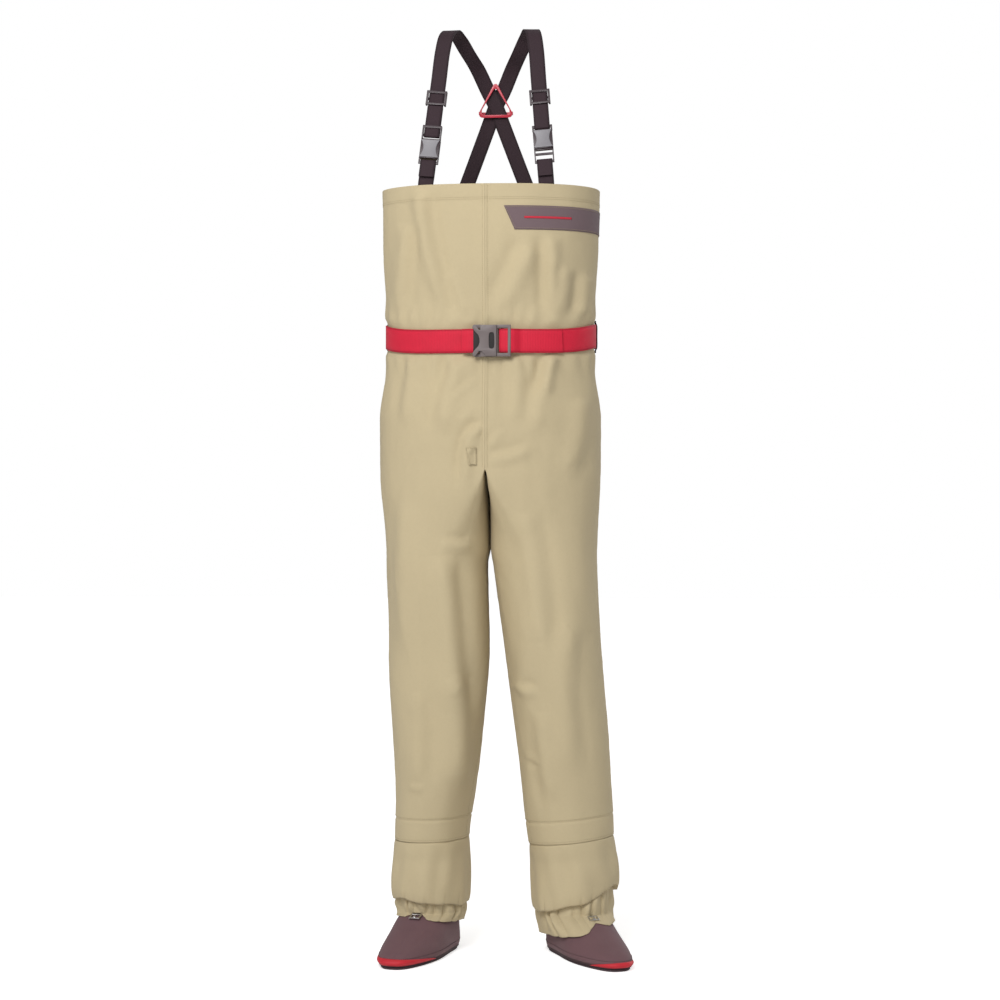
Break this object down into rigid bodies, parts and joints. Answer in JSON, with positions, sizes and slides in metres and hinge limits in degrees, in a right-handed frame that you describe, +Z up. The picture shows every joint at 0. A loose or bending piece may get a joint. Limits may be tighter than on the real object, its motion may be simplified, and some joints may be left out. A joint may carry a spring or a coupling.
{
  "type": "chest waders",
  "caption": "Stocking-foot chest waders with crossed clip-on suspenders, a buckled waist belt, gathered gravel guards with lace hooks and neoprene booties.",
  "frame": {"origin": "on the floor, under the middle of the bounding box", "axes": "+Z up, the wearer faces -Y, the wearer's right is -X"},
  "size_m": [0.417, 0.2838, 1.5068],
  "materials": {
    "shell": "matt waterproof laminate",
    "lining": "matt woven",
    "tape": "satin seam tape",
    "webbing": "ribbed polyester webbing",
    "belt": "ribbed nylon webbing",
    "buckle": "moulded acetal",
    "ring": "moulded plastic",
    "patch": "matt woven",
    "neoprene": "jersey-faced neoprene",
    "sole": "matt neoprene",
    "toe": "matt rubberised fabric",
    "elastic": "knitted elastic",
    "hook": "bare metal"
  },
  "bodies": {
    "waders": {"bib_right": "shell", "leg_right": "shell", "inseam_tape_right": "tape", "bib_left": "shell", "leg_left": "shell", "inseam_tape_left": "tape", "bib_hem": "lining", "front_seam_tape": "tape", "back_seam_tape": "tape", "chest_patch": "patch", "belt_webbing": "belt", "belt_adjusting_end": "belt", "belt_loop_right": "webbing", "belt_loop_left": "webbing", "belt_loop_back": "webbing", "front_socket_right": "buckle", "strap_tab_right": "webbing", "front_plug_left": "buckle", "strap_tab_left": "webbing", "rear_strap_end_right": "webbing", "rear_strap_end_left": "webbing", "belt_socket": "buckle", "bootie_right": "neoprene", "sole_right": "sole", "toe_piece_right": "toe", "ankle_tape_right": "tape", "bootie_left": "neoprene", "sole_left": "sole", "toe_piece_left": "toe", "ankle_tape_left": "tape", "gravel_guard_right": "shell", "gravel_guard_left": "shell", "crotch_patch": "patch"},
    "suspenders": {"suspender_right": "webbing", "suspender_left": "webbing", "strap_loop_right": "webbing", "strap_loop_left": "webbing"},
    "right_front_plug": {"front_plug_right": "buckle"},
    "left_front_socket": {"front_socket_left": "buckle"},
    "right_front_prong_inner": {"front_prong_right_inner": "buckle"},
    "right_front_prong_outer": {"front_prong_right_outer": "buckle"},
    "left_front_prong_inner": {"front_prong_left_inner": "buckle"},
    "left_front_prong_outer": {"front_prong_left_outer": "buckle"},
    "right_adjuster": {"adjuster_right": "buckle"},
    "left_adjuster": {"adjuster_left": "buckle"},
    "ring": {"cross_ring": "ring"},
    "belt_plug_end": {"belt_plug": "buckle", "belt_tail": "belt"},
    "belt_upper_prong": {"belt_prong_upper": "buckle"},
    "belt_lower_prong": {"belt_prong_lower": "buckle"},
    "right_cuff": {"cuff_right": "shell", "hem_elastic_right": "elastic", "hook_tab_right": "webbing"},
    "left_cuff": {"cuff_left": "shell", "hem_elastic_left": "elastic", "hook_tab_left": "webbing"},
    "right_hook": {"lace_hook_right": "hook"},
    "left_hook": {"lace_hook_left": "hook"}
  },
  "joints": [
    {"name": "suspenders_swing", "type": "hinge", "parent": "waders", "child": "suspenders", "pos_m": [-0.02745, 0.13781, 1.239], "axis": [-1, 0, 0], "range_deg": [0, 150]},
    {"name": "right_front_release", "type": "slide", "parent": "suspenders", "child": "right_front_plug", "axis": [0.0867, 0.295, 0.9516], "range_m": [0, 0.026], "deforming": ["strap_loop_right"]},
    {"name": "left_front_release", "type": "slide", "parent": "suspenders", "child": "left_front_socket", "axis": [-0.0867, 0.295, 0.9516], "range_m": [0, 0.026], "deforming": ["strap_loop_left"]},
    {"name": "right_adjuster_slide", "type": "slide", "parent": "suspenders", "child": "right_adjuster", "axis": [0.0867, 0.295, 0.9516], "range_m": [0, 0.036]},
    {"name": "left_adjuster_slide", "type": "slide", "parent": "suspenders", "child": "left_adjuster", "axis": [-0.0867, 0.295, 0.9516], "range_m": [0, 0.036]},
    {"name": "ring_slide", "type": "slide", "parent": "suspenders", "child": "ring", "axis": [0, -0.0599, 0.9982], "range_m": [0, 0.006]},
    {"name": "belt_release", "type": "slide", "parent": "waders", "child": "belt_plug_end", "axis": [1, 0, 0], "range_m": [0, 0.028], "deforming": ["belt_adjusting_end"]},
    {"name": "right_front_inner_prong_squeeze", "type": "hinge", "parent": "right_front_plug", "child": "right_front_prong_inner", "pos_m": [-0.12666, -0.05676, 1.3118], "axis": [0, -0.9552, 0.2961], "range_deg": [0, 6], "stiffness_Nm_per_rad": 0.05},
    {"name": "right_front_outer_prong_squeeze", "type": "hinge", "parent": "right_front_plug", "child": "right_front_prong_outer", "pos_m": [-0.10813, -0.05724, 1.31026], "axis": [0, 0.9552, -0.2961], "range_deg": [0, 6], "stiffness_Nm_per_rad": 0.05},
    {"name": "left_front_inner_prong_squeeze", "type": "hinge", "parent": "waders", "child": "left_front_prong_inner", "pos_m": [0.07278, -0.06027, 1.30048], "axis": [0, -0.9552, 0.2961], "range_deg": [0, 6], "stiffness_Nm_per_rad": 0.05},
    {"name": "left_front_outer_prong_squeeze", "type": "hinge", "parent": "waders", "child": "left_front_prong_outer", "pos_m": [0.05425, -0.06075, 1.29894], "axis": [0, 0.9552, -0.2961], "range_deg": [0, 6], "stiffness_Nm_per_rad": 0.05},
    {"name": "belt_upper_prong_squeeze", "type": "hinge", "parent": "belt_plug_end", "child": "belt_upper_prong", "pos_m": [-0.01125, -0.09279, 1.0083], "axis": [0, -1, 0], "range_deg": [0, 6], "stiffness_Nm_per_rad": 0.05},
    {"name": "belt_lower_prong_squeeze", "type": "hinge", "parent": "belt_plug_end", "child": "belt_lower_prong", "pos_m": [-0.01125, -0.09279, 0.9717], "axis": [0, 1, 0], "range_deg": [0, 6], "stiffness_Nm_per_rad": 0.05},
    {"name": "right_cuff_lift", "type": "slide", "parent": "waders", "child": "right_cuff", "axis": [0, 0, 1], "range_m": [0, 0.04], "deforming": ["gravel_guard_right"]},
    {"name": "right_hook_swing", "type": "hinge", "parent": "right_cuff", "child": "right_hook", "pos_m": [-0.14406, -0.02168, 0.0685], "axis": [-0.9711, 0.2385, 0], "range_deg": [0, 70]},
    {"name": "left_cuff_lift", "type": "slide", "parent": "waders", "child": "left_cuff", "axis": [0, 0, 1], "range_m": [0, 0.04], "deforming": ["gravel_guard_left"]},
    {"name": "left_hook_swing", "type": "hinge", "parent": "left_cuff", "child": "left_hook", "pos_m": [0.13775, -0.01616, 0.0685], "axis": [-0.9048, -0.4258, 0], "range_deg": [0, 70]}
  ],
  "couplings": [
    {"joint": "right_front_outer_prong_squeeze", "follows": "right_front_inner_prong_squeeze", "ratio": 1},
    {"joint": "left_front_outer_prong_squeeze", "follows": "left_front_inner_prong_squeeze", "ratio": 1},
    {"joint": "belt_lower_prong_squeeze", "follows": "belt_upper_prong_squeeze", "ratio": 1}
  ]
}
